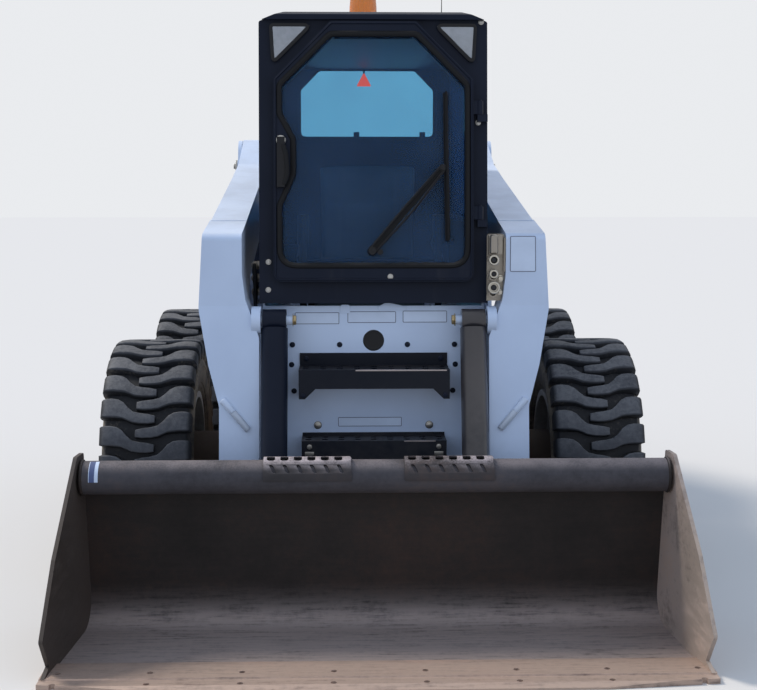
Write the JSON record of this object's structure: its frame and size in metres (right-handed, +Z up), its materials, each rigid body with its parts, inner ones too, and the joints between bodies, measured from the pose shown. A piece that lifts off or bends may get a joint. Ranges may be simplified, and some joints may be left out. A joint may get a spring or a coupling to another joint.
{
  "type": "skid steer loader",
  "caption": "Small four-wheeled loader with a closed cab, two lift arms, hydraulic cylinders and a wide dirt bucket.",
  "frame": {"origin": "on the ground under the middle of the machine's bounding box", "axes": "+Z up, -Y towards the bucket (forward), +X to the operator's left, which is the picture's right"},
  "size_m": [1.924, 3.47, 2.185],
  "materials": {
    "amber": "gloss, translucent",
    "black_plastic": "matte",
    "black_steel": "satin, scratched",
    "cast_iron": "painted",
    "chromed_rod": "polished",
    "dirty_steel": "painted, caked with dry dirt",
    "glass": "clear",
    "lamp_glass": "gloss",
    "rubber": "matte",
    "rusty_steel": "worn to rusty brown",
    "seat_cover": "matte",
    "tyre": "dusty",
    "white_paint": "worn gloss",
    "white_rim": "worn, dirty"
  },
  "bodies": {
    "chassis": {"axle_housings": "dirty_steel", "chain_cases": "dirty_steel", "belly_plate": "black_steel", "front_panel": "white_paint", "front_steps": "black_steel", "body_sides": "white_paint", "upright_left": "white_paint", "upright_right": "white_paint", "engine_block": "cast_iron", "engine_hood": "white_paint", "rear_bumper": "black_steel", "tail_posts": "white_paint", "tailgate_hinges": "black_steel", "cab_frame": "black_steel", "cab_roof": "black_steel", "cab_windows": "glass", "work_lamps": "lamp_glass", "door_hinges": "black_steel", "cab_floor": "black_steel", "seat": "seat_cover", "control_levers": "black_plastic", "seat_bar": "black_steel", "beacon_base": "black_plastic", "beacon_lens": "amber"},
    "tailgate": {"tailgate": "white_paint"},
    "cab_door": {"door_frame": "black_steel", "door_glass": "glass", "door_handle": "black_plastic", "wiper": "rubber"},
    "lift_arms": {"lift_arm_left": "white_paint", "lift_arm_right": "white_paint", "cross_tubes": "white_paint", "hose_couplers": "black_steel"},
    "bucket": {"attach_frame": "black_steel", "bucket_shell": "rusty_steel", "bucket_sides": "rusty_steel", "cutting_edge": "rusty_steel", "bucket_tube": "rusty_steel"},
    "wheel_front_left": {"tyre_front_left": "tyre", "rim_front_left": "white_rim"},
    "wheel_front_right": {"tyre_front_right": "tyre", "rim_front_right": "white_rim"},
    "wheel_rear_left": {"tyre_rear_left": "tyre", "rim_rear_left": "white_rim"},
    "wheel_rear_right": {"tyre_rear_right": "tyre", "rim_rear_right": "white_rim"},
    "lift_barrel_left": {"lift_barrel_left": "black_steel"},
    "lift_rod_left": {"lift_rod_left": "chromed_rod"},
    "lift_barrel_right": {"lift_barrel_right": "black_steel"},
    "lift_rod_right": {"lift_rod_right": "chromed_rod"},
    "tilt_barrel_left": {"tilt_barrel_left": "black_steel"},
    "tilt_rod_left": {"tilt_rod_left": "chromed_rod"},
    "tilt_barrel_right": {"tilt_barrel_right": "black_steel"},
    "tilt_rod_right": {"tilt_rod_right": "chromed_rod"}
  },
  "joints": [
    {"name": "wheel_front_left", "type": "hinge", "parent": "chassis", "child": "wheel_front_left", "pos_m": [0.78, -0.455, 0.42], "axis": [1, 0, 0], "continuous": true},
    {"name": "wheel_front_right", "type": "hinge", "parent": "chassis", "child": "wheel_front_right", "pos_m": [-0.78, -0.455, 0.42], "axis": [1, 0, 0], "continuous": true},
    {"name": "wheel_rear_left", "type": "hinge", "parent": "chassis", "child": "wheel_rear_left", "pos_m": [0.78, 0.778, 0.42], "axis": [1, 0, 0], "continuous": true},
    {"name": "wheel_rear_right", "type": "hinge", "parent": "chassis", "child": "wheel_rear_right", "pos_m": [-0.78, 0.778, 0.42], "axis": [1, 0, 0], "continuous": true},
    {"name": "lift", "type": "hinge", "parent": "chassis", "child": "lift_arms", "pos_m": [0, 0.995, 1.5], "axis": [-1, 0, 0], "range_deg": [0, 70]},
    {"name": "bucket_tilt", "type": "hinge", "parent": "lift_arms", "child": "bucket", "pos_m": [0, -1, 0.2], "axis": [1, 0, 0], "range_deg": [-20, 110]},
    {"name": "cab_door", "type": "hinge", "parent": "chassis", "child": "cab_door", "pos_m": [0.356, -0.90394, 1.01355], "axis": [0, 0.0817, 0.9967], "range_deg": [0, 90]},
    {"name": "tailgate", "type": "hinge", "parent": "chassis", "child": "tailgate", "pos_m": [0.384, 1.69, 0.9], "axis": [0, 0, -1], "range_deg": [0, 100]},
    {"name": "tilt_barrel_left", "type": "hinge", "parent": "lift_arms", "child": "tilt_barrel_left", "pos_m": [0.33, -0.93, 0.96], "axis": [1, 0, 0], "range_deg": [-3, 3]},
    {"name": "tilt_rod_left", "type": "slide", "parent": "tilt_barrel_left", "child": "tilt_rod_left", "axis": [0, -0.2425, -0.9701], "range_m": [-0.0524, 0.2305]},
    {"name": "lift_barrel_left", "type": "hinge", "parent": "chassis", "child": "lift_barrel_left", "pos_m": [0.496, 1.15, 0.95], "axis": [-1, 0, 0], "range_deg": [0, 35]},
    {"name": "lift_rod_left", "type": "slide", "parent": "lift_barrel_left", "child": "lift_rod_left", "axis": [0, -0.9235, 0.3836], "range_m": [0, 0.417]},
    {"name": "tilt_barrel_right", "type": "hinge", "parent": "lift_arms", "child": "tilt_barrel_right", "pos_m": [-0.33, -0.93, 0.96], "axis": [1, 0, 0], "range_deg": [-3, 3]},
    {"name": "tilt_rod_right", "type": "slide", "parent": "tilt_barrel_right", "child": "tilt_rod_right", "axis": [0, -0.2425, -0.9701], "range_m": [-0.0524, 0.2305]},
    {"name": "lift_barrel_right", "type": "hinge", "parent": "chassis", "child": "lift_barrel_right", "pos_m": [-0.496, 1.15, 0.95], "axis": [-1, 0, 0], "range_deg": [0, 35]},
    {"name": "lift_rod_right", "type": "slide", "parent": "lift_barrel_right", "child": "lift_rod_right", "axis": [0, -0.9235, 0.3836], "range_m": [0, 0.417]}
  ],
  "couplings": [
    {"joint": "tilt_barrel_left", "follows": "bucket_tilt", "ratio": 0.01},
    {"joint": "tilt_rod_left", "follows": "bucket_tilt", "m_per_rad": 0.12},
    {"joint": "lift_barrel_left", "follows": "lift", "ratio": 0.498},
    {"joint": "lift_rod_left", "follows": "lift", "m_per_rad": 0.341},
    {"joint": "tilt_barrel_right", "follows": "bucket_tilt", "ratio": 0.01},
    {"joint": "tilt_rod_right", "follows": "bucket_tilt", "m_per_rad": 0.12},
    {"joint": "lift_barrel_right", "follows": "lift", "ratio": 0.498},
    {"joint": "lift_rod_right", "follows": "lift", "m_per_rad": 0.341}
  ]
}
